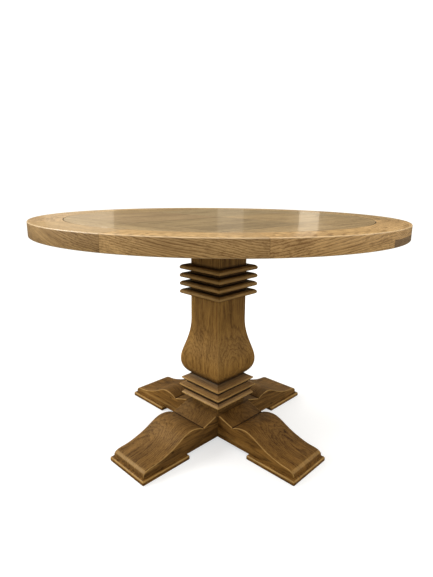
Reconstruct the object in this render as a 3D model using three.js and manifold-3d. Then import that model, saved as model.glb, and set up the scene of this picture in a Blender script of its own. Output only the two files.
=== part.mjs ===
// Round pedestal dining table in oak.
//
// The top is a ring of ten segments around a panel of square tiles and lunes, all glued to a
// core disc. Two crossed bearers carry it on a square baluster column of four mitred staves,
// dressed with four nosed collars and three base mouldings. Two half-lapped beams make the
// four feet, each on a flat pad with a levelling glide. One tie rod clamps bearers, column and
// beams together.
//
// Units are millimetres, +Z is up, and the origin is on the floor under the middle of the column.
// The feet point along +X, +Y, -X and -Y.

import * as THREE from 'three';
import { mergeVertices } from 'three/addons/utils/BufferGeometryUtils.js';
import Module from 'manifold-3d';

const wasm = await Module();
wasm.setup();

// ---------------------------------------------------------------- driving dimensions

const TABLE_HEIGHT = 780;
const TOP_RADIUS = 600;
const TOP_THICKNESS = 44;
const PANEL_RADIUS = 500;
const CORE_RADIUS = 530;
const CORE_THICKNESS = 20;
const RING_SEGMENTS = 10;
const TOP_EDGE_EASE = 3;
const BOTTOM_EDGE_EASE = 2;
const GROOVE_CHAMFER = 1.5;

const BEARER_HALF_LENGTH = 410;
const BEARER_HALF_FLAT = 260;
const BEARER_WIDTH = 84;
const BEARER_DEPTH = 45;
const BEARER_TIP_DEPTH = 20;

const SHAFT_HALF = 68.5;
const STAVE_INNER_HALF = 38;
const BELLY_HALF = 96.4;
const BELLY_FOOT_HALF = 69.3;
const BELLY_FOOT = 212.5;
const BELLY_MIDDLE = 269;
const BELLY_TOP = 425;

const COLLAR_COUNT = 4;
const COLLAR_LOWEST = 513.3;
const COLLAR_PITCH = 29;
const COLLAR_THICKNESS = 17;
const COLLAR_NOSE = 7;
const COLLAR_HALF = 97;
const COLLAR_TOP_HALF = 84;

// Each base moulding: its lowest and highest level, how far it reaches, the levels of its thin
// edge, and how far its flat underside and flat top reach.
const MOULDING_EDGE_EASE = 1.5;
const BASE_MOULDINGS = {
  upper: { bottom: 177.2, top: 210.2, half: 94.3, edge: [190.3, 194.5], underHalf: 79.5, topHalf: 71 },
  middle: { bottom: 147.4, top: 176.9, half: 100.4, edge: [163, 167.5], underHalf: 86.5, topHalf: 79.5 },
  lower: { bottom: 130, top: 147.1, half: 94, edge: [130, 134.5], underHalf: 92.5, topHalf: 86.5 },
};

const FOOT_LENGTH = 402;
const FOOT_WIDTH = 160;
const FOOT_TOP = 99.5;
const FOOT_BOTTOM = 16.8;
// Points of a foot's upper outline: distance from the column's axis, then height.
const FOOT_FLAT = 86;
const CREASE = [150, 79];
const HUMP = [205, 93.5];
const SLOPE = [312, 52.5];
const TOE = [368, 41.5];
const NOSE_HEIGHT = 25;
const PAD_LENGTH = 190;
const PAD_WIDTH = 180;
const PAD_BOTTOM = 0.8;
const PAD_EDGE_RADIUS = 6;
const PAD_OVERHANG = 9;

const ROD_RADIUS = 6;
const ROD_BOTTOM = 20;
const ROD_BORE_RADIUS = 7;
const NUT_ACROSS_FLATS = 18;
const NUT_HEIGHT = 9.5;
const NUT_FLANGE_RADIUS = 13;
const NUT_FLANGE_HEIGHT = 2.5;
const NUT_POCKET_RADIUS = 17;
const LOWER_POCKET_DEPTH = 17.2;
const UPPER_POCKET_DEPTH = 14;
const PLUG_HEIGHT = 30;

const SCREW_REACH = 340;
const SCREW_RADIUS = 3;
const SCREW_HEAD_RADIUS = 6.5;
const SCREW_HEAD_HEIGHT = 4;
const SCREW_SEAT = 715;
const SCREW_LENGTH_IN_CORE = 14;

const GLIDE_DISC_RADIUS = 15;
const GLIDE_DISC_HEIGHT = 2.7;
const GLIDE_RECESS_RADIUS = 16;
const GLIDE_STEM_RADIUS = 4;
const GLIDE_STEM_TOP = 32;
const INSERT_RADIUS = 7;
const INSERT_TOP = 33;

const FIT_GAP = 0.3;
const CIRCLE_FACETS = 120;
const HARDWARE_FACETS = 24;

// ---------------------------------------------------------------- levels worked out from them

const TOP_BOTTOM = TABLE_HEIGHT - TOP_THICKNESS;
const CORE_TOP = TOP_BOTTOM + CORE_THICKNESS;
const TILE_BOTTOM = CORE_TOP + FIT_GAP;
const TILE_SIDE = PANEL_RADIUS / Math.SQRT2;
const BEARER_TOP = TOP_BOTTOM - FIT_GAP;
const BEARER_BOTTOM = TOP_BOTTOM - BEARER_DEPTH;
const STAVE_BOTTOM = FOOT_TOP + FIT_GAP;
const STAVE_TOP = BEARER_BOTTOM - FIT_GAP;
const ROD_TOP = TOP_BOTTOM - 1;
const PAD_TOP = FOOT_BOTTOM - FIT_GAP;
const PAD_MIDDLE = FOOT_LENGTH + PAD_OVERHANG - PAD_LENGTH / 2;
const QUARTER = Math.PI / 2;

// ---------------------------------------------------------------- materials

function wood(color, roughness) {
  return new THREE.MeshStandardMaterial({ color, roughness, metalness: 0 });
}

const TILE_OAK = [0xa98a58, 0xb59766, 0xad8f5c, 0xb39463].map((color) => wood(color, 0.35));
const LUNE_OAK = wood(0xb89a68, 0.35);
const RING_OAK = [0x9a7338, 0x8e6a35, 0xa07b42].map((color) => wood(color, 0.4));
const RING_DARK_OAK = wood(0x6f4c25, 0.4);
const CORE_WOOD = wood(0xb79d72, 0.7);
const BEARER_OAK = wood(0x94764a, 0.6);
const COLUMN_OAK = wood(0x8f7548, 0.45);
const COLLAR_OAK = wood(0x7d5f33, 0.45);
const MOULDING_OAK = wood(0x86683c, 0.45);
const FOOT_OAK = wood(0x8d7045, 0.45);
const PAD_OAK = wood(0x9a7644, 0.45);
const STEEL = new THREE.MeshStandardMaterial({ color: 0x9b9da0, roughness: 0.35, metalness: 1 });
const BRASS = new THREE.MeshStandardMaterial({ color: 0xb08d45, roughness: 0.4, metalness: 1 });

// ---------------------------------------------------------------- solids and booleans

function toSolid(geometry) {
  const bare = geometry.clone();
  bare.deleteAttribute('normal');
  bare.deleteAttribute('uv');
  const merged = mergeVertices(bare, 1e-4);
  const vertProperties = new Float32Array(merged.attributes.position.array);
  const triVerts = new Uint32Array(merged.index.array);
  return new wasm.Manifold(new wasm.Mesh({ numProp: 3, vertProperties, triVerts }));
}

function toGeometry(solid) {
  const mesh = solid.getMesh();
  const geometry = new THREE.BufferGeometry();
  geometry.setAttribute('position', new THREE.BufferAttribute(mesh.vertProperties, 3));
  geometry.setIndex(new THREE.BufferAttribute(mesh.triVerts, 1));
  geometry.computeVertexNormals();
  return geometry;
}

// A box given by its lowest and highest corners.
function boxBetween(low, high) {
  const size = new THREE.Vector3().subVectors(high, low);
  const middle = new THREE.Vector3().addVectors(low, high).multiplyScalar(0.5);
  return toSolid(new THREE.BoxGeometry(size.x, size.y, size.z).translate(middle.x, middle.y, middle.z));
}

// A profile of radius and height turned about the Z axis, listed counter-clockwise.
function turned(profile, facets) {
  return toSolid(new THREE.LatheGeometry(profile, facets).rotateX(QUARTER));
}

// A profile of half-width and height run around a square, with mitred corners.
function squareMoulding(profile) {
  const atCorners = profile.map((point) => new THREE.Vector2(point.x * Math.SQRT2, point.y));
  return new THREE.LatheGeometry(atCorners, 4).rotateX(QUARTER).rotateZ(QUARTER / 2);
}

function verticalCylinder(radius, bottom, top, facets = HARDWARE_FACETS) {
  const geometry = new THREE.CylinderGeometry(radius, radius, top - bottom, facets);
  return toSolid(geometry.rotateX(QUARTER).translate(0, 0, (top + bottom) / 2));
}

// An outline of X and Z run along Y over a width that is centred on Y = 0.
function boardOf(outline, width, curveSegments) {
  const options = { depth: width, bevelEnabled: false, curveSegments };
  const geometry = new THREE.ExtrudeGeometry(outline, options);
  return toSolid(geometry.translate(0, 0, -width / 2).rotateX(QUARTER));
}

function closed(points) {
  return [...points, points[0].clone()];
}

function at(x, y) {
  return new THREE.Vector2(x, y);
}

// ---------------------------------------------------------------- scene helpers

const table = new THREE.Group();

function place(name, geometry, material, turn = 0) {
  const mesh = new THREE.Mesh(geometry, material);
  mesh.name = name;
  mesh.rotation.z = turn;
  table.add(mesh);
  return mesh;
}

// ---------------------------------------------------------------- table top

function ringSolid() {
  const inner = PANEL_RADIUS + FIT_GAP / 2;
  const rebate = CORE_RADIUS + FIT_GAP;
  const outline = new THREE.Path();
  outline.moveTo(rebate, TOP_BOTTOM);
  outline.lineTo(TOP_RADIUS - BOTTOM_EDGE_EASE, TOP_BOTTOM);
  outline.lineTo(TOP_RADIUS, TOP_BOTTOM + BOTTOM_EDGE_EASE);
  outline.lineTo(TOP_RADIUS, TABLE_HEIGHT - TOP_EDGE_EASE);
  outline.absarc(TOP_RADIUS - TOP_EDGE_EASE, TABLE_HEIGHT - TOP_EDGE_EASE, TOP_EDGE_EASE, 0, QUARTER);
  outline.lineTo(inner + GROOVE_CHAMFER, TABLE_HEIGHT);
  outline.lineTo(inner, TABLE_HEIGHT - GROOVE_CHAMFER);
  outline.lineTo(inner, TILE_BOTTOM);
  outline.lineTo(rebate, TILE_BOTTOM);
  outline.closePath();
  return turned(outline.getPoints(2), CIRCLE_FACETS);
}

// The wedge between two angles, drawn back from both faces by half a fit gap.
function wedge(from, to, bottom, top) {
  const middle = (from + to) / 2;
  const setBack = FIT_GAP / 2 / Math.sin((to - from) / 2);
  const apex = at(Math.cos(middle), Math.sin(middle)).multiplyScalar(setBack);
  const reach = TOP_RADIUS * 1.3;
  const outline = new THREE.Shape();
  outline.moveTo(apex.x, apex.y);
  outline.lineTo(apex.x + reach * Math.cos(from), apex.y + reach * Math.sin(from));
  outline.lineTo(apex.x + reach * Math.cos(to), apex.y + reach * Math.sin(to));
  outline.closePath();
  const geometry = new THREE.ExtrudeGeometry(outline, { depth: top - bottom, bevelEnabled: false });
  return toSolid(geometry.translate(0, 0, bottom));
}

// One segment shows two laminations of different colour, so it is made of two pieces.
function addRing() {
  const ring = ringSolid();
  const step = (2 * Math.PI) / RING_SEGMENTS;
  const below = TOP_BOTTOM - 1;
  const above = TABLE_HEIGHT + 1;
  const upper = ring.intersect(wedge(0, step, TILE_BOTTOM, above));
  const lower = ring.intersect(wedge(0, step, below, CORE_TOP));
  place('ring_segment_0_upper', toGeometry(upper), RING_OAK[2]);
  place('ring_segment_0_lower', toGeometry(lower), RING_DARK_OAK);
  for (let index = 1; index < RING_SEGMENTS; index += 1) {
    const segment = ring.intersect(wedge(index * step, (index + 1) * step, below, above));
    place(`ring_segment_${index}`, toGeometry(segment), RING_OAK[index % RING_OAK.length]);
  }
}

function panelSolid() {
  const outer = PANEL_RADIUS - FIT_GAP / 2;
  const profile = [
    at(0, TILE_BOTTOM),
    at(outer, TILE_BOTTOM),
    at(outer, TABLE_HEIGHT - GROOVE_CHAMFER),
    at(outer - GROOVE_CHAMFER, TABLE_HEIGHT),
    at(0, TABLE_HEIGHT),
  ];
  return turned(profile, CIRCLE_FACETS);
}

// Each quarter of the panel is a square tile whose far corner meets the ring, and two half
// lunes that fill the circle beside it.
function addPanel() {
  const panel = panelSolid();
  const near = FIT_GAP / 2;
  const tileEdge = TILE_SIDE - FIT_GAP / 2;
  const luneEdge = TILE_SIDE + FIT_GAP / 2;
  const low = TILE_BOTTOM - 1;
  const high = TABLE_HEIGHT + 1;
  const tileBox = boxBetween(
    new THREE.Vector3(near, near, low),
    new THREE.Vector3(tileEdge, tileEdge, high),
  );
  const firstLuneBox = boxBetween(
    new THREE.Vector3(luneEdge, near, low),
    new THREE.Vector3(PANEL_RADIUS, PANEL_RADIUS, high),
  );
  const secondLuneBox = boxBetween(
    new THREE.Vector3(near, luneEdge, low),
    new THREE.Vector3(PANEL_RADIUS, PANEL_RADIUS, high),
  );
  for (let quarter = 0; quarter < 4; quarter += 1) {
    const turn = quarter * QUARTER;
    place(`panel_tile_${quarter}`, toGeometry(panel.intersect(tileBox)), TILE_OAK[quarter], turn);
    place(`panel_lune_${quarter}_a`, toGeometry(panel.intersect(firstLuneBox)), LUNE_OAK, turn);
    place(`panel_lune_${quarter}_b`, toGeometry(panel.intersect(secondLuneBox)), LUNE_OAK, turn);
  }
}

function screwPlaces() {
  return [0, 1, 2, 3].map((side) => {
    const angle = side * QUARTER;
    return at(SCREW_REACH * Math.cos(angle), SCREW_REACH * Math.sin(angle));
  });
}

function addCore() {
  let core = turned(
    [
      at(0, TOP_BOTTOM),
      at(CORE_RADIUS, TOP_BOTTOM),
      at(CORE_RADIUS, CORE_TOP),
      at(0, CORE_TOP),
    ],
    CIRCLE_FACETS,
  );
  const pilotTop = TOP_BOTTOM + SCREW_LENGTH_IN_CORE + 1;
  for (const spot of screwPlaces()) {
    const pilot = verticalCylinder(SCREW_RADIUS + FIT_GAP, TOP_BOTTOM - 1, pilotTop);
    core = core.subtract(pilot.translate([spot.x, spot.y, 0]));
  }
  place('top_core', toGeometry(core), CORE_WOOD);
}

// ---------------------------------------------------------------- bearers under the top

function bearerOutline() {
  const tipBottom = TOP_BOTTOM - BEARER_TIP_DEPTH;
  const outline = new THREE.Shape();
  outline.moveTo(-BEARER_HALF_FLAT, BEARER_BOTTOM);
  outline.lineTo(BEARER_HALF_FLAT, BEARER_BOTTOM);
  outline.lineTo(BEARER_HALF_LENGTH, tipBottom);
  outline.lineTo(BEARER_HALF_LENGTH, BEARER_TOP);
  outline.lineTo(-BEARER_HALF_LENGTH, BEARER_TOP);
  outline.lineTo(-BEARER_HALF_LENGTH, tipBottom);
  outline.closePath();
  return outline;
}

// The notch that lets one member of a crossed pair pass through the other.
function lapNotch(width, bottom, top) {
  const half = width / 2 + FIT_GAP;
  return boxBetween(new THREE.Vector3(-half, -width, bottom), new THREE.Vector3(half, width, top));
}

function addBearers() {
  const lap = (BEARER_TOP + BEARER_BOTTOM) / 2;
  let blank = boardOf(bearerOutline(), BEARER_WIDTH, 1);
  blank = blank.subtract(verticalCylinder(ROD_BORE_RADIUS, BEARER_BOTTOM - 1, BEARER_TOP + 1));
  for (const reach of [-SCREW_REACH, SCREW_REACH]) {
    const shank = verticalCylinder(SCREW_RADIUS + FIT_GAP, BEARER_BOTTOM, BEARER_TOP + 1);
    const head = verticalCylinder(SCREW_HEAD_RADIUS + 1, BEARER_BOTTOM - 1, SCREW_SEAT);
    blank = blank.subtract(shank.add(head).translate([reach, 0, 0]));
  }
  const lower = blank.subtract(lapNotch(BEARER_WIDTH, lap - FIT_GAP / 2, BEARER_TOP + 1));
  const pocket = verticalCylinder(NUT_POCKET_RADIUS, TOP_BOTTOM - UPPER_POCKET_DEPTH, BEARER_TOP + 1);
  const upper = blank.subtract(lapNotch(BEARER_WIDTH, BEARER_BOTTOM - 1, lap + FIT_GAP / 2));
  place('bearer_x', toGeometry(lower), BEARER_OAK);
  place('bearer_y', toGeometry(upper.subtract(pocket)), BEARER_OAK, QUARTER);
}

function addBearerScrews() {
  const headBottom = SCREW_SEAT - FIT_GAP - SCREW_HEAD_HEIGHT;
  const tip = TOP_BOTTOM + SCREW_LENGTH_IN_CORE;
  const profile = [
    at(0, headBottom),
    at(SCREW_HEAD_RADIUS, headBottom),
    at(SCREW_HEAD_RADIUS, headBottom + SCREW_HEAD_HEIGHT),
    at(SCREW_RADIUS, headBottom + SCREW_HEAD_HEIGHT),
    at(SCREW_RADIUS, tip - SCREW_RADIUS),
    at(0, tip),
  ];
  screwPlaces().forEach((spot, index) => {
    const screw = turned(profile, HARDWARE_FACETS / 2);
    place(`bearer_screw_${index}`, toGeometry(screw), STEEL).position.set(spot.x, spot.y, 0);
  });
}

// ---------------------------------------------------------------- column

// A stave's side view: a straight inner face, and the baluster curve outside.
function staveOutline() {
  const outline = new THREE.Shape();
  outline.moveTo(STAVE_INNER_HALF, STAVE_BOTTOM);
  outline.lineTo(SHAFT_HALF, STAVE_BOTTOM);
  outline.lineTo(SHAFT_HALF, BELLY_FOOT - 2);
  outline.lineTo(BELLY_FOOT_HALF, BELLY_FOOT);
  const low = [BELLY_FOOT_HALF + 11, BELLY_FOOT + 8, BELLY_HALF, BELLY_MIDDLE - 32];
  const high = [BELLY_HALF, BELLY_MIDDLE + 41, SHAFT_HALF, BELLY_TOP - 75];
  outline.bezierCurveTo(...low, BELLY_HALF, BELLY_MIDDLE);
  outline.bezierCurveTo(...high, SHAFT_HALF, BELLY_TOP);
  outline.lineTo(SHAFT_HALF, STAVE_TOP);
  outline.lineTo(STAVE_INNER_HALF, STAVE_TOP);
  outline.closePath();
  return outline;
}

function addStaves() {
  const full = boardOf(staveOutline(), 2 * BELLY_HALF, 10);
  const mitred = full.intersect(wedge(-QUARTER / 2, QUARTER / 2, STAVE_BOTTOM - 1, STAVE_TOP + 1));
  for (let side = 0; side < 4; side += 1) {
    place(`column_stave_${side}`, toGeometry(mitred), COLUMN_OAK, side * QUARTER);
  }
}

// Square plugs glued into both ends of the hollow column, bored for the tie rod.
function addPlugs() {
  const half = STAVE_INNER_HALF - FIT_GAP;
  const bottoms = { bottom: STAVE_BOTTOM, top: STAVE_TOP - PLUG_HEIGHT };
  for (const [end, bottom] of Object.entries(bottoms)) {
    const block = boxBetween(
      new THREE.Vector3(-half, -half, bottom),
      new THREE.Vector3(half, half, bottom + PLUG_HEIGHT),
    );
    const bore = verticalCylinder(ROD_BORE_RADIUS, bottom - 1, bottom + PLUG_HEIGHT + 1);
    place(`column_plug_${end}`, toGeometry(block.subtract(bore)), CORE_WOOD);
  }
}

// A collar's section: flat below and above, with a nose that is fullest below its middle.
function collarProfile(bottom) {
  const inner = SHAFT_HALF + FIT_GAP;
  const top = bottom + COLLAR_THICKNESS;
  const nose = bottom + COLLAR_NOSE;
  const outline = new THREE.Path();
  outline.moveTo(inner, bottom);
  outline.lineTo(COLLAR_HALF - 6, bottom);
  outline.bezierCurveTo(COLLAR_HALF - 1.5, bottom, COLLAR_HALF, nose - 3.5, COLLAR_HALF, nose);
  outline.bezierCurveTo(COLLAR_HALF, nose + 4, COLLAR_HALF - 5, top, COLLAR_TOP_HALF, top);
  outline.lineTo(inner, top);
  outline.closePath();
  return outline.getPoints(4);
}

function addCollars() {
  for (let index = 0; index < COLLAR_COUNT; index += 1) {
    const profile = collarProfile(COLLAR_LOWEST + index * COLLAR_PITCH);
    place(`column_collar_${index}`, squareMoulding(profile), COLLAR_OAK);
  }
}

// A base moulding's section: a hollow slope down to a thin edge, undercut below it.
function baseMouldingProfile({ bottom, top, half, edge, underHalf, topHalf }) {
  const inner = SHAFT_HALF + FIT_GAP;
  const [edgeBottom, edgeTop] = edge;
  const outline = new THREE.Path();
  outline.moveTo(inner, bottom);
  outline.lineTo(underHalf, bottom);
  outline.lineTo(half - MOULDING_EDGE_EASE, edgeBottom);
  outline.lineTo(half, edgeBottom + MOULDING_EDGE_EASE);
  outline.lineTo(half, edgeTop);
  outline.quadraticCurveTo((half + topHalf) / 2 - 1, (edgeTop + top) / 2 - 3, topHalf, top);
  outline.lineTo(inner, top);
  outline.closePath();
  return outline.getPoints(4).filter((point, index, all) => index === 0 || !point.equals(all[index - 1]));
}

function addMouldings() {
  for (const [name, sizes] of Object.entries(BASE_MOULDINGS)) {
    place(`base_moulding_${name}`, squareMoulding(baseMouldingProfile(sizes)), MOULDING_OAK);
  }
}

// ---------------------------------------------------------------- tie rod

function flangeNut(seat, away) {
  const hexRadius = NUT_ACROSS_FLATS / Math.sqrt(3);
  const flangeEnd = seat + away * NUT_FLANGE_HEIGHT;
  const hexEnd = flangeEnd + away * NUT_HEIGHT;
  const flange = verticalCylinder(NUT_FLANGE_RADIUS, Math.min(seat, flangeEnd), Math.max(seat, flangeEnd));
  const hex = verticalCylinder(hexRadius, Math.min(seat, hexEnd), Math.max(seat, hexEnd), 6);
  const bore = verticalCylinder(ROD_RADIUS + FIT_GAP, seat - 2 * NUT_HEIGHT, seat + 2 * NUT_HEIGHT);
  return toGeometry(flange.add(hex).subtract(bore));
}

function addTieRod() {
  const rod = verticalCylinder(ROD_RADIUS, ROD_BOTTOM, ROD_TOP);
  const lowerSeat = FOOT_BOTTOM + LOWER_POCKET_DEPTH - FIT_GAP;
  const upperSeat = TOP_BOTTOM - UPPER_POCKET_DEPTH + FIT_GAP;
  place('tie_rod', toGeometry(rod), STEEL);
  place('tie_nut_lower', flangeNut(lowerSeat, -1), STEEL);
  place('tie_nut_upper', flangeNut(upperSeat, 1), STEEL);
}

// ---------------------------------------------------------------- feet

// Half of the side view: a flat under the column, a ramp down to a crease, a rounded hump, and
// a long slope to a blunt nose.
function footHalf(outline, side) {
  const reach = (values) => values.map((value, index) => (index % 2 ? value : side * value));
  outline.lineTo(side * FOOT_FLAT, FOOT_TOP);
  outline.quadraticCurveTo(...reach([114, 90, ...CREASE]));
  outline.bezierCurveTo(...reach([163, 87, 184, 94, ...HUMP]));
  outline.bezierCurveTo(...reach([240, 91, 262, 66, ...SLOPE]));
  outline.bezierCurveTo(...reach([336, 44.5, 352, 42.5, ...TOE]));
  outline.bezierCurveTo(...reach([388, 40.5, FOOT_LENGTH - 1, 36, FOOT_LENGTH, NOSE_HEIGHT]));
  outline.lineTo(side * FOOT_LENGTH, FOOT_BOTTOM);
}

function footOutline() {
  const right = new THREE.Shape();
  right.moveTo(0, FOOT_TOP);
  footHalf(right, 1);
  right.lineTo(0, FOOT_BOTTOM);
  right.closePath();
  const left = right.getPoints(5).map((point) => at(-point.x, point.y)).reverse();
  return new THREE.Shape([...right.getPoints(5), ...left]);
}

function addFeet() {
  const lap = (FOOT_TOP + FOOT_BOTTOM) / 2;
  let blank = boardOf(footOutline(), FOOT_WIDTH, 1);
  blank = blank.subtract(verticalCylinder(ROD_BORE_RADIUS, FOOT_BOTTOM - 1, FOOT_TOP + 1));
  for (const reach of [-PAD_MIDDLE, PAD_MIDDLE]) {
    const socket = verticalCylinder(INSERT_RADIUS + FIT_GAP, FOOT_BOTTOM - 1, INSERT_TOP + 2);
    blank = blank.subtract(socket.translate([reach, 0, 0]));
  }
  const pocketTop = FOOT_BOTTOM + LOWER_POCKET_DEPTH;
  const pocket = verticalCylinder(NUT_POCKET_RADIUS, FOOT_BOTTOM - 1, pocketTop);
  const lower = blank.subtract(lapNotch(FOOT_WIDTH, lap - FIT_GAP / 2, FOOT_TOP + 1));
  const upper = blank.subtract(lapNotch(FOOT_WIDTH, FOOT_BOTTOM - 1, lap + FIT_GAP / 2));
  place('foot_beam_x', toGeometry(lower.subtract(pocket)), FOOT_OAK);
  place('foot_beam_y', toGeometry(upper), FOOT_OAK, QUARTER);
}

function padSolid() {
  const halfLength = PAD_LENGTH / 2 - PAD_EDGE_RADIUS;
  const halfWidth = PAD_WIDTH / 2 - PAD_EDGE_RADIUS;
  const outline = new THREE.Shape();
  outline.moveTo(-halfLength, -halfWidth);
  outline.lineTo(halfLength, -halfWidth);
  outline.lineTo(halfLength, halfWidth);
  outline.lineTo(-halfLength, halfWidth);
  outline.closePath();
  const geometry = new THREE.ExtrudeGeometry(outline, {
    depth: PAD_TOP - PAD_BOTTOM - 2 * PAD_EDGE_RADIUS,
    bevelThickness: PAD_EDGE_RADIUS,
    bevelSize: PAD_EDGE_RADIUS,
    bevelSegments: 3,
  });
  const pad = toSolid(geometry.translate(0, 0, PAD_BOTTOM + PAD_EDGE_RADIUS));
  const stemHole = verticalCylinder(GLIDE_STEM_RADIUS + 2 * FIT_GAP, 0, PAD_TOP + 1);
  const recess = verticalCylinder(GLIDE_RECESS_RADIUS, 0, GLIDE_DISC_HEIGHT + FIT_GAP);
  return pad.subtract(stemHole.add(recess));
}

function insertSolid() {
  const bore = GLIDE_STEM_RADIUS + FIT_GAP;
  const bottom = FOOT_BOTTOM + FIT_GAP;
  const profile = closed([
    at(bore, bottom),
    at(INSERT_RADIUS, bottom),
    at(INSERT_RADIUS, INSERT_TOP),
    at(bore, INSERT_TOP),
  ]);
  return turned(profile, HARDWARE_FACETS);
}

function glideSolid() {
  const profile = [
    at(0, 0),
    at(GLIDE_DISC_RADIUS - 1, 0),
    at(GLIDE_DISC_RADIUS, 1),
    at(GLIDE_DISC_RADIUS, GLIDE_DISC_HEIGHT),
    at(GLIDE_STEM_RADIUS, GLIDE_DISC_HEIGHT),
    at(GLIDE_STEM_RADIUS, GLIDE_STEM_TOP - 1),
    at(GLIDE_STEM_RADIUS - 1, GLIDE_STEM_TOP),
    at(0, GLIDE_STEM_TOP),
  ];
  return turned(profile, HARDWARE_FACETS);
}

// Each foot end has a pad glued under it, a threaded insert and a levelling glide.
function addFootEnds() {
  const pieces = [
    ['foot_pad', toGeometry(padSolid()), PAD_OAK],
    ['glide_insert', toGeometry(insertSolid()), BRASS],
    ['levelling_glide', toGeometry(glideSolid()), STEEL],
  ];
  for (let side = 0; side < 4; side += 1) {
    const turn = side * QUARTER;
    for (const [name, geometry, material] of pieces) {
      const mesh = place(`${name}_${side}`, geometry, material, turn);
      mesh.position.set(PAD_MIDDLE * Math.cos(turn), PAD_MIDDLE * Math.sin(turn), 0);
    }
  }
}

// ---------------------------------------------------------------- the whole table

addRing();
addPanel();
addCore();
addBearers();
addBearerScrews();
addStaves();
addPlugs();
addCollars();
addMouldings();
addTieRod();
addFeet();
addFootEnds();

export default table;
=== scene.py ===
"""Round pedestal dining table in satin-lacquered oak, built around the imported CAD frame.

Every visible wooden piece is rebuilt with fine curves and eased edges in the place of its CAD
node. Each board carries its own grain coordinates, so that one procedural oak gives every board
a cut of its own. Lengths in the outlines are millimetres; Blender's are metres.
"""

import math
import random

import bmesh
import bpy
from mathutils import Matrix, Vector


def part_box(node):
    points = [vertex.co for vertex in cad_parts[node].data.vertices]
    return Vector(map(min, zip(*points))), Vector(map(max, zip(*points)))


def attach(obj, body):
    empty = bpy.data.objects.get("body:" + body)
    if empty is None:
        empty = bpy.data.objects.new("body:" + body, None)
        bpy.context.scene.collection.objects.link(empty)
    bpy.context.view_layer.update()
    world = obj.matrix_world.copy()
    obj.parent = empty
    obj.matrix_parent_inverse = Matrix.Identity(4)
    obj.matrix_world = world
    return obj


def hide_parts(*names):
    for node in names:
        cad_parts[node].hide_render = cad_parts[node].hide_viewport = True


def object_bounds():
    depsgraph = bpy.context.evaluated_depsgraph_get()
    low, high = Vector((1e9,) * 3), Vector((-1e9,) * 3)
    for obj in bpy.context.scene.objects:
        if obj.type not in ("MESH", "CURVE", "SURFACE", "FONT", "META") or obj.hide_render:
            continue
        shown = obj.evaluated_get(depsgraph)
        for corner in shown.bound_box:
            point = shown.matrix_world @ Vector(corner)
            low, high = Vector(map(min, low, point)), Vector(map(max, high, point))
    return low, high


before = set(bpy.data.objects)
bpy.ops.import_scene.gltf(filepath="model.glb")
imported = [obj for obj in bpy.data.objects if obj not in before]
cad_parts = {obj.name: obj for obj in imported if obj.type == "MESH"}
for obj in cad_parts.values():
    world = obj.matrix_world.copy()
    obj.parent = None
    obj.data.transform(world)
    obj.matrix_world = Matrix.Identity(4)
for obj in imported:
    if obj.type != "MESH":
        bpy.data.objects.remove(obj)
cad_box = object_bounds()

MM = 0.001
TABLE_BODY = "table"


# -------- sizes taken from the frame

def node_low(node):
    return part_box(node)[0] / MM


def node_high(node):
    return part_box(node)[1] / MM


FIT_GAP = 0.3
GLUE_LINE = 0.04
TOP_LEVEL = node_high("panel_tile_0").z
RIM_BOTTOM = node_low("ring_segment_1").z
TILE_BOTTOM = node_low("panel_tile_0").z
CORE_TOP = node_high("ring_segment_0_lower").z
TOP_RADIUS = cad_box[1].x / MM
PANEL_RADIUS = node_high("panel_lune_0_a").x + FIT_GAP / 2
REBATE_RADIUS = node_high("top_core").x + FIT_GAP
TILE_SIDE = node_high("panel_tile_0").x + FIT_GAP / 2
SHAFT_BOTTOM = node_low("column_stave_0").z
SHAFT_TOP = node_high("column_stave_0").z
SHAFT_INNER = node_low("column_stave_0").x
BELLY_HALF = node_high("column_stave_0").x
COLLAR_HALF = node_high("column_collar_0").x
FOOT_LENGTH = node_high("foot_beam_x").x
FOOT_HALF_WIDTH = node_high("foot_beam_x").y
FOOT_BOTTOM = node_low("foot_beam_x").z
FOOT_TOP = node_high("foot_beam_y").z
SHAFT_HALF = 68.5
RING_SEGMENTS = 10
RING_STEP = 2 * math.pi / RING_SEGMENTS
QUARTER = math.pi / 2


# -------- outlines

def arc(centre, radius, start, end, steps):
    """Points on a round stretch, both ends included; the angles are in radians."""
    made = []
    for index in range(steps + 1):
        angle = start + (end - start) * index / steps
        made.append((centre[0] + radius * math.cos(angle), centre[1] + radius * math.sin(angle)))
    return made


def bezier(points, steps):
    """A Bezier curve of any order, without its first point."""
    made = []
    for index in range(1, steps + 1):
        t = index / steps
        level = list(points)
        while len(level) > 1:
            level = [
                ((1 - t) * a[0] + t * b[0], (1 - t) * a[1] + t * b[1])
                for a, b in zip(level, level[1:])
            ]
        made.append(level[0])
    return made


def inset(outline, depths):
    """A counter-clockwise outline with each edge moved inwards by its own depth."""
    count = len(outline)
    if not isinstance(depths, (list, tuple)):
        depths = [depths] * count
    normals = []
    for index in range(count):
        here, ahead = outline[index], outline[(index + 1) % count]
        edge = (ahead[0] - here[0], ahead[1] - here[1])
        length = math.hypot(*edge) or 1.0
        normals.append((-edge[1] / length, edge[0] / length))
    made = []
    for index, point in enumerate(outline):
        first, second = normals[index - 1], normals[index]
        near, far = depths[index - 1], depths[index]
        turn = first[0] * second[1] - first[1] * second[0]
        if abs(turn) < 0.05:
            shift = (near + far) / 2
            made.append((point[0] + shift * second[0], point[1] + shift * second[1]))
            continue
        dx = (near * second[1] - far * first[1]) / turn
        dy = (far * first[0] - near * second[0]) / turn
        made.append((point[0] + dx, point[1] + dy))
    return made


def eased_levels(radius, steps):
    """Inset and rise of a quarter-round edge, from the full outline to the face."""
    return [
        (radius * (1 - math.cos(angle)), radius * math.sin(angle))
        for angle in (QUARTER * index / steps for index in range(steps + 1))
    ]


# -------- boards and pieces

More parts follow.
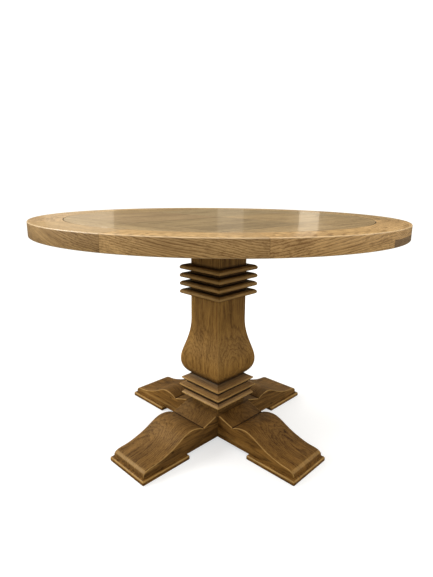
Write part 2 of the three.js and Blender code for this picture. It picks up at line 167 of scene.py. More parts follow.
class Board:
    """The plank that a piece is cut from: its frame, its place in the trunk and its tone."""

    def __init__(self, name, centre, along, across, tone=(0.0, 0.0), heart=None):
        draw = random.Random(name)
        self.centre = Vector(centre)
        self.along = Vector(along).normalized()
        self.across = Vector(across).normalized()
        self.through = self.along.cross(self.across)
        from_heart = draw.uniform(70, 150) if heart is None else heart
        self.shift = Vector((draw.uniform(0, 9000), draw.uniform(-45, 45), from_heart))
        self.tone = (tone[0] + draw.uniform(-0.02, 0.02), tone[1], draw.uniform(0, 1))

    def grain(self, point):
        local = point - self.centre
        own = Vector((local.dot(self.along), local.dot(self.across), local.dot(self.through)))
        return (own + self.shift) * MM


def new_object(name, data):
    """An object linked into the scene."""
    made = bpy.data.objects.new(name, data)
    bpy.context.scene.collection.objects.link(made)
    return made


def add_piece(name, loops, board, material, nodes, wear_and_light=None, sharp=28, bores=()):
    """A closed solid lofted through loops of equal length, with capped ends and upright bores."""
    mesh = bpy.data.meshes.new(name)
    size = len(loops[0])
    vertices = [Vector(point) * MM for loop in loops for point in loop]
    faces = [tuple(range(size)), tuple(range(len(vertices) - size, len(vertices)))]
    for row in range(len(loops) - 1):
        base = row * size
        for column in range(size):
            after = (column + 1) % size
            faces.append((base + column, base + after, base + size + after, base + size + column))
    mesh.from_pydata(vertices, [], faces)
    work = bmesh.new()
    work.from_mesh(mesh)
    bmesh.ops.remove_doubles(work, verts=work.verts, dist=1e-7)
    bmesh.ops.recalc_face_normals(work, faces=work.faces)
    work.to_mesh(mesh)
    work.free()
    made = new_object(name, mesh)
    for bore in bores:
        cut_bore(made, *bore)
    finish_mesh(made.data, board, material, wear_and_light, sharp)
    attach(made, TABLE_BODY)
    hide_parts(*nodes)
    return made


def finish_mesh(mesh, board, material, wear_and_light, sharp):
    """Smooth shading, and each vertex's place in its board, tone, and wear with painted light and
    shade.
    """
    for polygon in mesh.polygons:
        polygon.use_smooth = True
    mesh.set_sharp_from_angle(angle=math.radians(sharp))
    points = [vertex.co / MM for vertex in mesh.vertices]
    grains = [value for point in points for value in board.grain(point)]
    tones = [value for _ in points for value in board.tone]
    wear_and_light_values = [wear_and_light(point) if wear_and_light else 0.0 for point in points]
    mesh.attributes.new("grain", "FLOAT_VECTOR", "POINT").data.foreach_set("vector", grains)
    mesh.attributes.new("tone", "FLOAT_VECTOR", "POINT").data.foreach_set("vector", tones)
    mesh.attributes.new("wear_and_light", "FLOAT", "POINT").data.foreach_set("value", wear_and_light_values)
    mesh.materials.clear()
    mesh.materials.append(material)


def cut_bore(piece, centre, radius, bottom, top):
    """Cuts an upright round hole between two levels."""
    sides = 40
    loop = [(centre[0] + radius * math.cos(2 * math.pi * k / sides),
             centre[1] + radius * math.sin(2 * math.pi * k / sides)) for k in range(sides)]
    vertices = [Vector((x, y, z)) * MM for z in (bottom, top) for x, y in loop]
    faces = [tuple(range(sides))[::-1], tuple(range(sides, 2 * sides))]
    faces += [(k, (k + 1) % sides, sides + (k + 1) % sides, sides + k) for k in range(sides)]
    mesh = bpy.data.meshes.new("cutter")
    mesh.from_pydata(vertices, [], faces)
    cutter = new_object("cutter", mesh)
    modifier = piece.modifiers.new("bore", "BOOLEAN")
    modifier.object = cutter
    modifier.operation = "DIFFERENCE"
    modifier.solver = "EXACT"
    graph = bpy.context.evaluated_depsgraph_get()
    bored = bpy.data.meshes.new_from_object(piece.evaluated_get(graph))
    piece.modifiers.clear()
    piece.data = bored
    bpy.data.objects.remove(cutter)


# -------- node helpers

def node(tree, kind, inputs=None, **settings):
    made = tree.nodes.new("ShaderNode" + kind)
    for key, value in settings.items():
        setattr(made, key, value)
    for key, value in (inputs or {}).items():
        if isinstance(value, bpy.types.NodeSocket):
            tree.links.new(value, made.inputs[key])
        else:
            made.inputs[key].default_value = value
    return made


def calc(tree, operation, first, second=0.0, clamp=False):
    made = node(tree, "Math", {0: first, 1: second}, operation=operation)
    made.use_clamp = clamp
    return made.outputs[0]


def scaled(tree, vector, factors):
    return node(tree, "VectorMath", {0: vector, 1: factors}, operation="MULTIPLY").outputs[0]


def noise(tree, vector, detail=2.0, roughness=0.5):
    inputs = {"Vector": vector, "Scale": 1.0, "Detail": detail, "Roughness": roughness}
    return node(tree, "TexNoise", inputs)


def ramp(tree, factor, stops):
    made = node(tree, "ValToRGB", {"Fac": factor})
    elements = made.color_ramp.elements
    while len(elements) < len(stops):
        elements.new(0.5)
    for element, (place, value) in zip(elements, stops):
        element.position = place
        element.color = (value, value, value, 1.0)
    return made.outputs["Color"]


# The factor and the two colours among a mix's inputs, and the colour among its outputs.
MIX_INPUTS = (0, 6, 7)
MIX_RESULT = 2


def mixed(tree, factor, first, second):
    pair = [(*value, 1.0) if isinstance(value, tuple) else value for value in (first, second)]
    inputs = dict(zip(MIX_INPUTS, (factor, *pair)))
    return node(tree, "Mix", inputs, data_type="RGBA").outputs[MIX_RESULT]


# -------- oak

def new_material(name):
    """An empty material with its node tree and its shader."""
    material = bpy.data.materials.new(name)
    material.use_nodes = True
    return material, material.node_tree, material.node_tree.nodes["Principled BSDF"]


def grain_from_attributes(tree):
    return node(tree, "Attribute", attribute_name="grain").outputs["Vector"]


def grain_from_object(order, rise):
    """Grain coordinates for a CAD node: the object's own axes in another order."""

    def build(tree):
        own = node(tree, "TexCoord").outputs["Object"]
        parts = node(tree, "SeparateXYZ", {0: own}).outputs
        axes = [parts["XYZ".index(axis)] for axis in order]
        depth = calc(tree, "ADD", axes[2], rise)
        return node(tree, "CombineXYZ", {0: axes[0], 1: axes[1], 2: depth}).outputs[0]

    return build


# How far the fibres wander from straight: noise scale and reach, along, across and through.
SWAY_SCALE = (1.9, 7.0, 7.0)
SWAY_REACH = (0.0, 0.055, 0.055)
# Growth rings round the trunk's heart: spacing in metres, and shade across one year.
RING_SPACING = 0.0052
RING_STOPS = [(0.0, 0.12), (0.5, 0.3), (0.84, 1.0), (1.0, 0.12)]
HEART_STRETCH = (0.012, 1.0, 1.0)
UNEVEN_SCALE = (0.6, 55.0, 55.0)
UNEVENNESS = 2.4
# Each layer: whether it follows the wandering fibres, its noise scale along, across and through
# the board, its detail and roughness, and the levels between which it comes in.
LAYERS = {
    "streak": (True, (1.1, 46.0, 46.0), 5.0, 0.66, (0.34, 0.66)),
    "cloud": (False, (3.2, 8.0, 8.0), 3.0, 0.5, (0.32, 0.68)),
    "fibre": (True, (16.0, 520.0, 520.0), 3.0, 0.6, None),
    "pore": (True, (70.0, 1500.0, 1500.0), 1.0, 0.5, (0.56, 0.66)),
    "dash": (True, (20.0, 460.0, 460.0), 2.0, 0.6, (0.50, 0.62)),
    "fleck": (False, (42.0, 42.0, 620.0), 1.0, 0.5, (0.6, 0.68)),
}
# How much each layer darkens the wood, and what is taken off again to keep the mean.
DARKENING = {"dash": 0.30, "streak": 0.42, "cloud": 0.26, "fibre": 0.26}
LAYER_MEAN = 0.55
RING_MEAN = 0.4
FLECK_STRENGTH = 0.16
PORE_STRENGTH = 0.5
PORE_DARKNESS = 0.32
PORES_IN_RINGS = 0.8
KNOT_SCALE = (11.0, 20.0, 20.0)
KNOT_STOPS = [(0.05, 1.0), (0.11, 0.0)]
# Hue turn and loss of saturation for a tone's second value of 1.
TONE_HUE = 0.05
TONE_GREY = 0.8
RUBBED_SCALE = (26.0, 60.0, 60.0)
RUBBED_BASE = 0.1
# Near-black for dark joints and for painted shade in grooves, creases, quirks and sheltered
# places.
SHADE_AND_JOINT_COLOUR = (0.026, 0.010, 0.0025)
# What the layers add to the roughness, and to the height of the relief.
ROUGHENING = {"fibre": 0.12, "pore": 0.16, "cloud": 0.06}
FIBRE_HEIGHT = 0.5
HOLLOWING = {"pore": 1.0, "ring": 0.35}
RELIEF = {"Strength": 0.45, "Distance": 0.0002}


def wander(tree, grain):
    """Grain coordinates bent a little, so that no line in the wood is straight."""
    sway = noise(tree, scaled(tree, grain, SWAY_SCALE)).outputs["Color"]
    middle = (0.5, 0.5, 0.5)
    sway = node(tree, "VectorMath", {0: sway, 1: middle}, operation="SUBTRACT").outputs[0]
    sway = scaled(tree, sway, SWAY_REACH)
    return node(tree, "VectorMath", {0: grain, 1: sway}, operation="ADD").outputs[0]


def growth_rings(tree, wavy):
    """Late wood at even distances from the heart of the trunk."""
    from_heart = scaled(tree, wavy, HEART_STRETCH)
    distance = node(tree, "VectorMath", {0: from_heart}, operation="LENGTH").outputs["Value"]
    uneven = noise(tree, scaled(tree, wavy, UNEVEN_SCALE)).outputs["Fac"]
    phase = calc(tree, "MULTIPLY", distance, 1 / RING_SPACING)
    phase = calc(tree, "ADD", phase, calc(tree, "MULTIPLY", uneven, UNEVENNESS))
    return ramp(tree, calc(tree, "FRACT", phase), RING_STOPS)


def oak_layers(tree, grain, wavy):
    """The patterns of oak by name, each from 0 to 1."""
    made = {"ring": growth_rings(tree, wavy)}
    for name, (bent, scale, detail, roughness, levels) in LAYERS.items():
        source = scaled(tree, wavy if bent else grain, scale)
        layer = noise(tree, source, detail, roughness).outputs["Fac"]
        if levels:
            layer = ramp(tree, layer, [(levels[0], 0.0), (levels[1], 1.0)])
        made[name] = layer
    in_rings = calc(tree, "MULTIPLY", made["ring"], PORES_IN_RINGS)
    in_rings = calc(tree, "ADD", in_rings, 1 - PORES_IN_RINGS)
    made["pore"] = calc(tree, "MULTIPLY", made["pore"], in_rings)
    return made


def pin_knots(tree, grain):
    """Small dark knots, a few centimetres to a few decimetres apart."""
    inputs = {"Vector": scaled(tree, grain, KNOT_SCALE), "Scale": 1.0}
    cells = node(tree, "TexVoronoi", inputs)
    return ramp(tree, cells.outputs["Distance"], KNOT_STOPS)


def board_colour(tree, grain, colour, pale_wear_and_highlight):
    """A board's own tone, its rubbed places with painted highlights, and its dark joints with
    painted shade, from the mesh.
    """
    tone = node(tree, "Attribute", attribute_name="tone").outputs["Vector"]
    parts = node(tree, "SeparateXYZ", {0: tone}).outputs
    value = calc(tree, "ADD", parts[0], 1.0)
    hue = calc(tree, "ADD", calc(tree, "MULTIPLY", parts[1], TONE_HUE), 0.5)
    grey = calc(tree, "ABSOLUTE", calc(tree, "MULTIPLY", parts[1], TONE_GREY))
    saturation = calc(tree, "SUBTRACT", 1.0, grey)
    shifted = {"Hue": hue, "Saturation": saturation, "Value": value, "Color": colour}
    colour = node(tree, "HueSaturation", shifted).outputs[0]
    wear_and_light = node(tree, "Attribute", attribute_name="wear_and_light").outputs["Fac"]
    rubbed = noise(tree, scaled(tree, grain, RUBBED_SCALE), 3.0).outputs["Fac"]
    rubbed = calc(tree, "ADD", rubbed, RUBBED_BASE)
    rubbed = calc(tree, "MULTIPLY", wear_and_light, rubbed, clamp=True)
    # Pale for rubbed wear and for painted highlights.
    colour = mixed(tree, rubbed, colour, pale_wear_and_highlight)
    # Dark joints, and painted shade where the value is below zero.
    shade_and_joint = calc(tree, "MULTIPLY", wear_and_light, -1.0, clamp=True)
    return mixed(tree, shade_and_joint, colour, SHADE_AND_JOINT_COLOUR)


def oak_surface(tree, shader, layers, gloss):
    """Open fibres and pores in the roughness and in the relief."""
    rough = gloss
    for name, share in ROUGHENING.items():
        rough = calc(tree, "ADD", calc(tree, "MULTIPLY", layers[name], share), rough)
    tree.links.new(rough, shader.inputs["Roughness"])
    height = calc(tree, "MULTIPLY", layers["fibre"], FIBRE_HEIGHT)
    for name, depth in HOLLOWING.items():
        height = calc(tree, "SUBTRACT", height, calc(tree, "MULTIPLY", layers[name], depth))
    bump = node(tree, "Bump", {**RELIEF, "Height": height})
    tree.links.new(bump.outputs[0], shader.inputs["Normal"])


def oak(name, light, dark, *, contrast=1.0, rings=0.3, knots=0.0, gloss=0.34, specular=0.5,
        coat=0.3, coat_roughness=0.22, pale_wear_and_highlight=(0.62, 0.43, 0.22), sheen=(1.0, 1.0, 1.0),
        grain_source=grain_from_attributes):
    """Procedural oak: growth rings cut out of a trunk, fibres, pores, ray flecks, and wear with
    painted light and shade.
    """
    material, tree, shader = new_material(name)
    grain = grain_source(tree)
    wavy = wander(tree, grain)
    layers = oak_layers(tree, grain, wavy)

    depth = calc(tree, "MULTIPLY", layers["ring"], rings * contrast)
    for layer, share in DARKENING.items():
        depth = calc(tree, "ADD", depth, calc(tree, "MULTIPLY", layers[layer], share * contrast))
    balance = 0.5 - (LAYER_MEAN + RING_MEAN * rings) * contrast
    depth = calc(tree, "ADD", depth, balance, clamp=True)
    colour = mixed(tree, depth, light, dark)
    fleck = calc(tree, "MULTIPLY", layers["fleck"], FLECK_STRENGTH)
    colour = mixed(tree, fleck, colour, light)
    pore_colour = tuple(channel * PORE_DARKNESS for channel in dark)
    pore = calc(tree, "MULTIPLY", layers["pore"], PORE_STRENGTH * contrast)
    colour = mixed(tree, pore, colour, pore_colour)
    if knots:
        knot = calc(tree, "MULTIPLY", pin_knots(tree, wavy), knots)
        colour = mixed(tree, knot, colour, pore_colour)
    if grain_source is grain_from_attributes:
        colour = board_colour(tree, grain, colour, pale_wear_and_highlight)
    tree.links.new(colour, shader.inputs["Base Color"])
    oak_surface(tree, shader, layers, gloss)
    shader.inputs["Specular IOR Level"].default_value = specular
    shader.inputs["Specular Tint"].default_value = (*sheen, 1.0)
    shader.inputs["Coat Weight"].default_value = coat
    shader.inputs["Coat Roughness"].default_value = coat_roughness
    return material


# -------- other materials

SCRATCH_SCALE = (260.0, 260.0, 2600.0)
DULL_SCALE = (120.0, 120.0, 120.0)
DULL_STOPS = [(0.35, 0.0), (0.75, 1.0)]
DULL_SHARE = 0.62
DULL_STRENGTH = 0.7
DULL_ROUGHNESS = 0.12
SCRATCH_RELIEF = {"Strength": 0.25, "Distance": 0.0001}


def metal(name, colour, roughness, scratch):
    """Plated or turned metal with fine scratches and uneven dulling."""
    material, tree, shader = new_material(name)
    own = node(tree, "TexCoord").outputs["Object"]
    fine = noise(tree, scaled(tree, own, SCRATCH_SCALE)).outputs["Fac"]
    cloudy = noise(tree, scaled(tree, own, DULL_SCALE), 4.0).outputs["Fac"]
    dull = tuple(channel * DULL_SHARE for channel in colour)
    shade = ramp(tree, cloudy, DULL_STOPS)
    dulled = mixed(tree, calc(tree, "MULTIPLY", shade, DULL_STRENGTH), colour, dull)
    tree.links.new(dulled, shader.inputs["Base Color"])
    rough = calc(tree, "ADD", calc(tree, "MULTIPLY", fine, scratch), roughness)
    rough = calc(tree, "ADD", rough, calc(tree, "MULTIPLY", shade, DULL_ROUGHNESS))
    tree.links.new(rough, shader.inputs["Roughness"])
    bump = node(tree, "Bump", {**SCRATCH_RELIEF, "Height": fine})
    tree.links.new(bump.outputs[0], shader.inputs["Normal"])
    shader.inputs["Metallic"].default_value = 1.0
    return material


# The feet and the column are coloured darker than the top, partly as painted shade under it;
# their sheen tint warms what they reflect.
STAINED_SHEEN = (1.0, 0.87, 0.60)
TOP_OAK = oak(
    "top_oak", (0.46, 0.312, 0.150), (0.155, 0.094, 0.040), contrast=1.25, rings=0.55,
    gloss=0.30, coat=0.35, coat_roughness=0.10, pale_wear_and_highlight=(0.66, 0.48, 0.27),
)
RING_OAK = oak(
    "ring_oak", (0.520, 0.325, 0.130), (0.180, 0.092, 0.026), contrast=1.2, rings=0.55,
    gloss=0.34, specular=0.4, coat=0.25, coat_roughness=0.14, pale_wear_and_highlight=(0.68, 0.51, 0.30),
)
COLUMN_OAK = oak(
    "column_oak", (0.430, 0.232, 0.058), (0.120, 0.053, 0.009), contrast=1.2, gloss=0.42,
    specular=0.3, coat=0.04, coat_roughness=0.25, pale_wear_and_highlight=(0.62, 0.39, 0.14), sheen=STAINED_SHEEN,
)
BASE_OAK = oak(
    "base_oak", (0.265, 0.130, 0.029), (0.058, 0.022, 0.0035), contrast=1.25, rings=0.4,
    knots=0.85, gloss=0.40, specular=0.25, coat=0.04, coat_roughness=0.22,
    pale_wear_and_highlight=(0.56, 0.34, 0.11), sheen=STAINED_SHEEN,
)
STEEL = metal("zinc_steel", (0.58, 0.60, 0.62), 0.28, 0.2)
BRASS = metal("insert_brass", (0.66, 0.47, 0.19), 0.25, 0.15)


# -------- table top

EDGE_EASE = 3.0
LOWER_EDGE_EASE = 2.2
GROOVE_CHAMFER = 1.5
JOINT_EASE = 0.35
RING_STEPS = 30
# Painted black shade in the groove round the panel, the feet's crease and the mouldings' quirks
# and undersides.
PAINTED_BLACK_SHADE = -1.0
UPPER_EDGE_WEAR = 0.9
LOWER_EDGE_WEAR = 0.6
# How near a vertex has to be to an edge or a face to count as on it.
NEAR_FACE = 0.1
NEAR_EDGE = 0.2


def in_groove(radius):
    return abs(radius - PANEL_RADIUS) < GROOVE_CHAMFER * 0.9


def top_wear_and_groove_shade(point):
    """Rubbed outer edges, and painted shade in the groove round the panel."""
    radius = math.hypot(point.x, point.y)
    if in_groove(radius) and point.z > TOP_LEVEL - 2 * GROOVE_CHAMFER:
        return PAINTED_BLACK_SHADE
    if radius > TOP_RADIUS - EDGE_EASE + NEAR_EDGE:
        if point.z > TOP_LEVEL - EDGE_EASE + NEAR_EDGE:
            return UPPER_EDGE_WEAR
        if point.z < RIM_BOTTOM + EDGE_EASE / 2:
            return LOWER_EDGE_WEAR
    if point.z < TOP_LEVEL - NEAR_FACE:
        return 0.0
    index = int(math.atan2(point.y, point.x) / RING_STEP % RING_SEGMENTS)
    return RING_RUBBED[index]


def ring_profile(bottom, top):
    """The rim's section in radius and height, between two levels."""
    inner = PANEL_RADIUS + FIT_GAP / 2
    outline = []
    if bottom < CORE_TOP:
        ease = LOWER_EDGE_EASE
        outline.append((REBATE_RADIUS, bottom))
        outline += arc((TOP_RADIUS - ease, bottom + ease), ease, -QUARTER, 0, 4)
    else:
        outline += [(inner, bottom), (TOP_RADIUS - JOINT_EASE, bottom)]
        outline.append((TOP_RADIUS, bottom + JOINT_EASE))
    if top > CORE_TOP + 1:
        ease = EDGE_EASE
        outline += arc((TOP_RADIUS - ease, top - ease), ease, 0, QUARTER, 5)
        outline.append((inner + GROOVE_CHAMFER, top))
        outline.append((inner + GROOVE_CHAMFER / 2, top - GROOVE_CHAMFER / 2))
        outline.append((inner, top - GROOVE_CHAMFER))
        if bottom < CORE_TOP:
            outline += [(inner, TILE_BOTTOM), (REBATE_RADIUS, TILE_BOTTOM)]
    else:
        outline += [(TOP_RADIUS, top - JOINT_EASE), (TOP_RADIUS - JOINT_EASE, top)]
        outline.append((REBATE_RADIUS, top))
    return outline


def ring_loops(profile, start, end):
    """The section carried round from one joint to the next, with eased joints."""
    clear = FIT_GAP / 2 / TOP_RADIUS
    eased = JOINT_EASE / TOP_RADIUS
    places = [(start + clear, JOINT_EASE)]
    first, last = start + clear + eased, end - clear - eased
    for index in range(RING_STEPS + 1):
        places.append((first + (last - first) * index / RING_STEPS, 0.0))
    places.append((end - clear, JOINT_EASE))
    loops = []
    for angle, depth in places:
        section = inset(profile, depth) if depth else profile
        loops.append([(r * math.cos(angle), r * math.sin(angle), z) for r, z in section])
    return loops


# Brightness and hue shift of each rim segment, counted from +X towards +Y. Segments 8, 9 and 0,
# from the front round to the right end as the camera sees the rim, are lightened as painted
# reflection; the rest are the segments' own tones.
RING_TONES_AND_LIGHT = [(0.40, -0.03), (0.0, 0.05), (-0.05, 0.0), (0.04, 0.08), (-0.02, 0.0),
              (0.03, 0.05), (0.0, -0.06), (-0.13, 0.0), (0.21, 0.02), (0.38, -0.01)]
# How far the top face of each segment is rubbed pale.
RING_RUBBED = [-0.16, 0.1, 0.25, 0.2, 0.3, 0.2, 0.3, 0.35, 0.15, -0.16]
# Slope of each segment's grain against the rim, in degrees.
RING_SLOPES = [4, -6, 5, 8, -4, 6, -7, -12, -9, 7]
DARK_LAMINATION = (-0.30, -0.12)


def add_ring():
    """The rim's segments; the first one shows two laminations."""
    middle_radius = (PANEL_RADIUS + TOP_RADIUS) / 2
    for index in range(RING_SEGMENTS):
        start, end = index * RING_STEP, (index + 1) * RING_STEP
        middle = (start + end) / 2
        outward = Vector((math.cos(middle), math.sin(middle), 0))
        along = Vector((-math.sin(middle), math.cos(middle), 0))
        slope = math.radians(RING_SLOPES[index])
        along = along * math.cos(slope) + Vector((0, 0, math.sin(slope)))
        layers = [("", RIM_BOTTOM, TOP_LEVEL, RING_TONES_AND_LIGHT[index], "ring_oak")]
        if index == 0:
            layers = [
                ("_upper", TILE_BOTTOM, TOP_LEVEL, RING_TONES_AND_LIGHT[0], "ring_oak"),
                ("_lower", RIM_BOTTOM, CORE_TOP, DARK_LAMINATION, "ring_dark_oak"),
            ]
        for suffix, bottom, top, tone, slot in layers:
            cad = f"ring_segment_{index}{suffix}"
            centre = outward * middle_radius + Vector((0, 0, TOP_LEVEL))
            board = Board(cad, centre, along, outward, tone)
            loops = ring_loops(ring_profile(bottom, top), start, end)
            add_piece(f"oak_{cad}", loops, board, RING_OAK, [cad], top_wear_and_groove_shade)


def slab_loops(outline, bottom, top, depths):
    """A plate with a plan outline, sharp below and eased above by its own depth at each edge."""
    deepest = max(depths)
    levels = 3
    loops = [[(x, y, bottom) for x, y in outline]]
    for share in [index / levels for index in range(levels + 1)]:
        section = inset(outline, [depth * share for depth in depths])
        loops.append([(x, y, top - deepest * (1 - share)) for x, y in section])
    return loops


def turned_about(loops, angle):
    """The same loops turned about the table's axis."""
    turn = Matrix.Rotation(angle, 3, "Z")
    return [[tuple(turn @ Vector(point)) for point in loop] for loop in loops]


SEAM_EASE = 0.45
# A painted highlight along the panel's straight seams.
SEAM_PAINTED_HIGHLIGHT = 0.9
SEAM_DEPTH = 1.2
LUNE_STEPS = 36
TILE_TONES = [(0.03, 0.0), (-0.02, 0.1), (0.02, -0.05), (-0.10, 0.05)]
LUNE_TONES = [(0.07, 0.0), (0.02, 0.08), (0.05, 0.0), (0.04, 0.05)]


def lune_groove_shade_and_seam_highlight(point):
    """Painted shade in the groove round the panel, and a painted highlight along the seams of the
    straight sides.
    """
    if in_groove(math.hypot(point.x, point.y)):
        return PAINTED_BLACK_SHADE
    return painted_seam_highlight(point)


def painted_seam_highlight(point):
    """A painted highlight along the straight seams."""
    for value in (abs(point.x), abs(point.y)):
        beside_seam = min(value, abs(value - TILE_SIDE)) < SEAM_EASE * 1.1
        if beside_seam and point.z > TOP_LEVEL - SEAM_DEPTH:
            return SEAM_PAINTED_HIGHLIGHT
    return 0.0


def panel_outlines():
    """Plan outlines of one quarter's tile and two lunes, with the ease of each edge."""
    near = FIT_GAP / 2
    rim = PANEL_RADIUS - near
    side = TILE_SIDE - near
    tile = [(near, near), (side, near), (side, side), (near, side)]
    start = math.asin(near / rim)
    end = math.acos((TILE_SIDE + near) / rim)
    curve = arc((0, 0), rim, start, end, LUNE_STEPS)
    lune = [(TILE_SIDE + near, near), *curve]
    lune_depths = [SEAM_EASE] + [GROOVE_CHAMFER] * (len(curve) - 1) + [SEAM_EASE]
    mirrored = [(y, x) for x, y in reversed(lune)]
    mirrored_depths = list(reversed(lune_depths[:-1])) + [SEAM_EASE]
    return (tile, [SEAM_EASE] * 4), (lune, lune_depths), (mirrored, mirrored_depths)


def add_panel():
    """Four square tiles, and two half lunes beside each; the tiles' grain runs one way."""
    tile, lune, mirrored = panel_outlines()
    for quarter in range(4):
        turn = quarter * QUARTER
        facing = Matrix.Rotation(turn, 3, "Z")
        outward, sideways = facing @ Vector((1, 0, 0)), facing @ Vector((0, 1, 0))
        along = outward if quarter % 2 else sideways
        across = Vector((0, 0, 1)).cross(along)
        tile_tone, tone = TILE_TONES[quarter], LUNE_TONES[quarter]
        next_tone = LUNE_TONES[(quarter + 1) % 4]
        shapes = [
            (f"panel_tile_{quarter}", tile, along, across, tile_tone, "panel_oak"),
            (f"panel_lune_{quarter}_a", lune, sideways, -outward, tone, "lune_oak"),
            (f"panel_lune_{quarter}_b", mirrored, outward, sideways, next_tone, "lune_oak"),
        ]
        centre = facing @ Vector((TILE_SIDE / 2, TILE_SIDE / 2, TOP_LEVEL))
        for cad, (outline, depths), board_along, board_across, board_tone, slot in shapes:
            loops = turned_about(slab_loops(outline, TILE_BOTTOM, TOP_LEVEL, depths), turn)
            board = Board(cad, centre, board_along, board_across, board_tone)
            wear_and_light = painted_seam_highlight if slot == "panel_oak" else lune_groove_shade_and_seam_highlight
            add_piece(f"oak_{cad}", loops, board, TOP_OAK, [cad], wear_and_light)


# -------- column

CORNER_EASE = 2.2
COLLARS_BOTTOM = node_low("column_collar_0").z
COLLARS_TOP = node_high("column_collar_3").z
MOULDINGS_BOTTOM = node_low("base_moulding_lower").z
# Curves outside a stave, as half-widths and levels of Bezier points.
BELLY_FOOT = (69.3, 212.5)
BELLY_UNDERSIDE = [BELLY_FOOT, (80.3, 220.5), (BELLY_HALF, 237), (BELLY_HALF, 269)]
BELLY_SHOULDER = [(BELLY_HALF, 269), (BELLY_HALF, 310), (SHAFT_HALF, 350), (SHAFT_HALF, 425)]
# Painted shade under the belly, between the collars and beneath the mouldings.
BELLY_SHADE_TOP = 240
BELLY_SHADE_FADE = 22
PAINTED_SHADE = -0.75
UNDER_MOULDING_SHADE = -0.6
ARRIS_WEAR = 0.55


def mitred_loops(profile, inner, corner_ease, steps=4):
    """A profile of half-width and height along one side of a square, mitred at both ends."""
    angles = [QUARTER / 2 * (1 - index / steps) for index in range(steps + 1)]
    stations = [(-1, angle) for angle in angles] + [(1, angle) for angle in reversed(angles)]
    loops = []
    for side, angle in stations:
        loop = []
        for half, z in profile:
            radius = min(corner_ease, max(half - inner, 0.0))
            x = half - radius + radius * math.cos(angle)
            y = half - radius + radius * math.sin(angle) - GLUE_LINE
            loop.append((x, side * y, z))
        loops.append(loop)
    return loops


def side_frame(side):
    """The outward and the sideways direction of one side of the column."""
    turn = Matrix.Rotation(side * QUARTER, 3, "Z")
    return turn @ Vector((1, 0, 0)), turn @ Vector((0, 1, 0))


def stave_profile():
    """Half-width and height round a stave's section."""
    profile = [(SHAFT_INNER, SHAFT_BOTTOM), (SHAFT_HALF, SHAFT_BOTTOM)]
    profile += [(SHAFT_HALF, MOULDINGS_BOTTOM), (SHAFT_HALF, MOULDINGS_BOTTOM + 6)]
    profile += [(SHAFT_HALF, BELLY_FOOT[1] - 2), BELLY_FOOT]
    profile += bezier(BELLY_UNDERSIDE, 28)
    profile += bezier(BELLY_SHOULDER, 40)
    profile += [(SHAFT_HALF, COLLARS_BOTTOM - 4), (SHAFT_HALF, COLLARS_BOTTOM)]
    profile += [(SHAFT_HALF, COLLARS_TOP), (SHAFT_HALF, COLLARS_TOP + 8)]
    profile += [(SHAFT_HALF, SHAFT_TOP), (SHAFT_INNER, SHAFT_TOP)]
    return profile


def column_wear_and_shade(point):
    """Painted shade in the sheltered places, and rubbed arrises at the corners."""
    first, second = sorted((abs(point.x), abs(point.y)))
    if COLLARS_BOTTOM - 2 < point.z < COLLARS_TOP + 4:
        return PAINTED_SHADE
    if point.z < MOULDINGS_BOTTOM + 3:
        return UNDER_MOULDING_SHADE
    if point.z < BELLY_SHADE_TOP:
        return PAINTED_SHADE * min(1.0, (BELLY_SHADE_TOP - point.z) / BELLY_SHADE_FADE)
    if second - first < CORNER_EASE * 0.55 and second > SHAFT_HALF - 4:
        return ARRIS_WEAR
    return 0.0


STAVE_TONES = [(0.0, 0.0), (0.02, 0.05), (-0.02, 0.0), (0.05, 0.0)]


def add_staves():
    """The four mitred sides of the column."""
    loops = mitred_loops(stave_profile(), SHAFT_INNER, CORNER_EASE)
    for side in range(4):
        outward, across = side_frame(side)
        cad = f"column_stave_{side}"
        board = Board(cad, outward * SHAFT_HALF, (0, 0, 1), across, STAVE_TONES[side])
        placed = turned_about(loops, side * QUARTER)
        add_piece(f"oak_{cad}", placed, board, COLUMN_OAK, [cad], column_wear_and_shade)


TRIM_EASE = 1.6
TRIM_EDGE_WEAR = 0.8
SLOPE_SHADE_FADE = 11


def trim_wear_and_shade(reach, edge_level, rubbed_width, slope_shade, quirk_half):
    """Pale wear at the outermost edge, painted shade further in, and black painted shade in the
    quirks below and above.
    """

    def measure(point):
        half = max(abs(point.x), abs(point.y))
        if point.z < edge_level - NEAR_FACE or half < quirk_half:
            return PAINTED_BLACK_SHADE
        rubbed = max(0.0, 1 - (reach - half) / rubbed_width)
        inward = 0.0
        if point.z > edge_level + 2:
            inward = max(0.0, (reach - rubbed_width - half) / SLOPE_SHADE_FADE)
        return TRIM_EDGE_WEAR * rubbed - slope_shade * min(1.0, inward)

    return measure


def add_square_frame(cad, profile, tone, wear_and_light):
    """Four mitred strips around the column, standing for one CAD node."""
    reach = max(half for half, _ in profile)
    inner = min(half for half, _ in profile)
    level = sum(z for _, z in profile) / len(profile)
    loops = mitred_loops(profile, inner, TRIM_EASE)
    for side in range(4):
        outward, across = side_frame(side)
        centre = outward * reach + Vector((0, 0, level))
        board = Board(f"{cad}_{side}", centre, across, (0, 0, 1), tone)
        placed = turned_about(loops, side * QUARTER)
        add_piece(f"oak_{cad}_{side}", placed, board, COLUMN_OAK, [cad], wear_and_light)


COLLAR_NOSE = 7
COLLAR_TOP_HALF = 84
COLLAR_TONE = (-0.10, -0.03)
# Painted shade on the collars' upper faces, under the top.
COLLAR_TOP_SHADE = 0.9
COLLAR_RUBBED = 3.0


